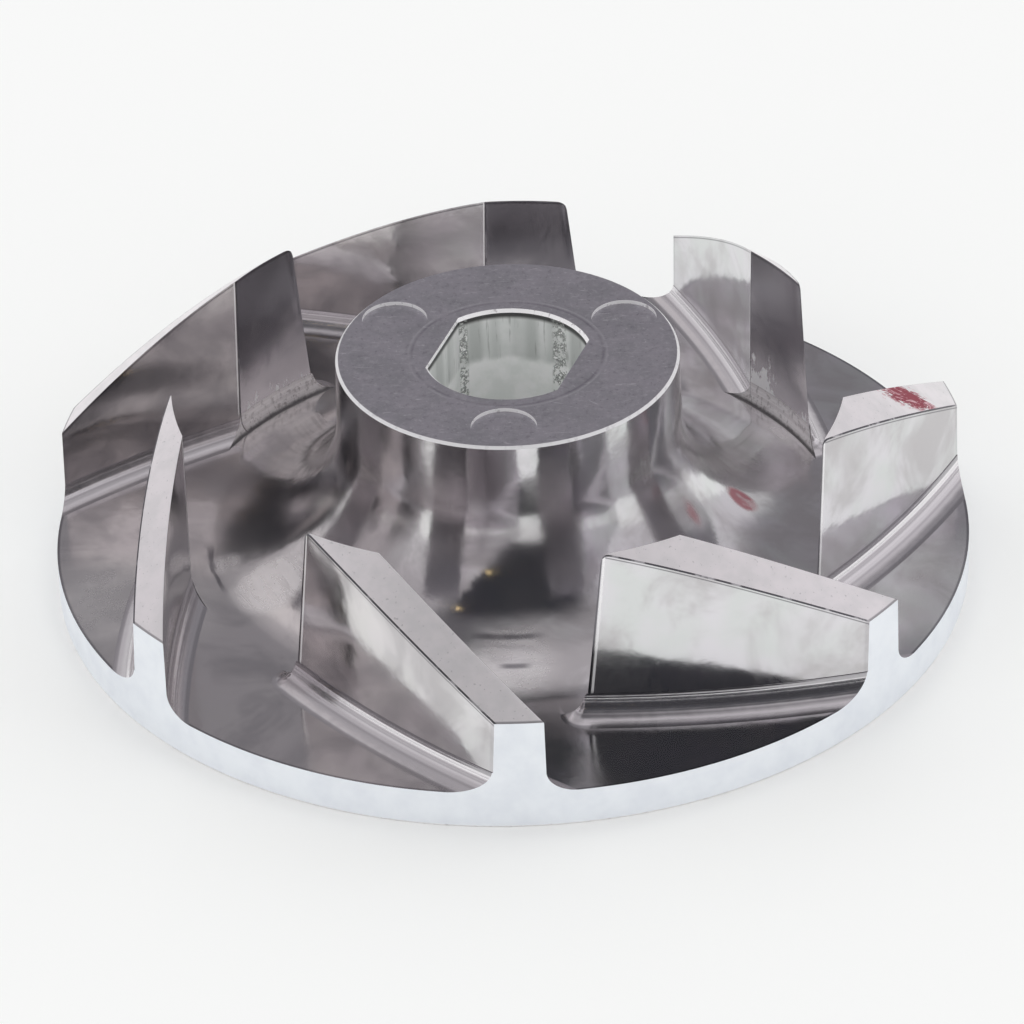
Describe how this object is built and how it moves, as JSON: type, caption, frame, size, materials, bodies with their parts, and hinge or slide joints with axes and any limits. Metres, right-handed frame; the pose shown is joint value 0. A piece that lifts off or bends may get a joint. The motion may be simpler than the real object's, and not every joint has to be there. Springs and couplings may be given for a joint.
{
  "type": "pump impeller",
  "caption": "Open coolant pump impeller: a flat disc with a flared central hub, low swept vanes that slope down to the rim, and a shaft bore with flats on two sides.",
  "frame": {"origin": "centre of the flat underside of the disc, on the shaft axis", "axes": "+Z along the shaft axis, from the underside towards the hub face; one of the bore's flats looks 159.7 degrees round from +X"},
  "size_m": [0.045, 0.045, 0.0123],
  "materials": {
    "cast_aluminium": "cast aluminium, mirror-polished in the channels and on the hub's side, with a fine turned rim and satin vane tops and hub face"
  },
  "bodies": {
    "root": {"impeller": "cast_aluminium"}
  },
  "joints": []
}
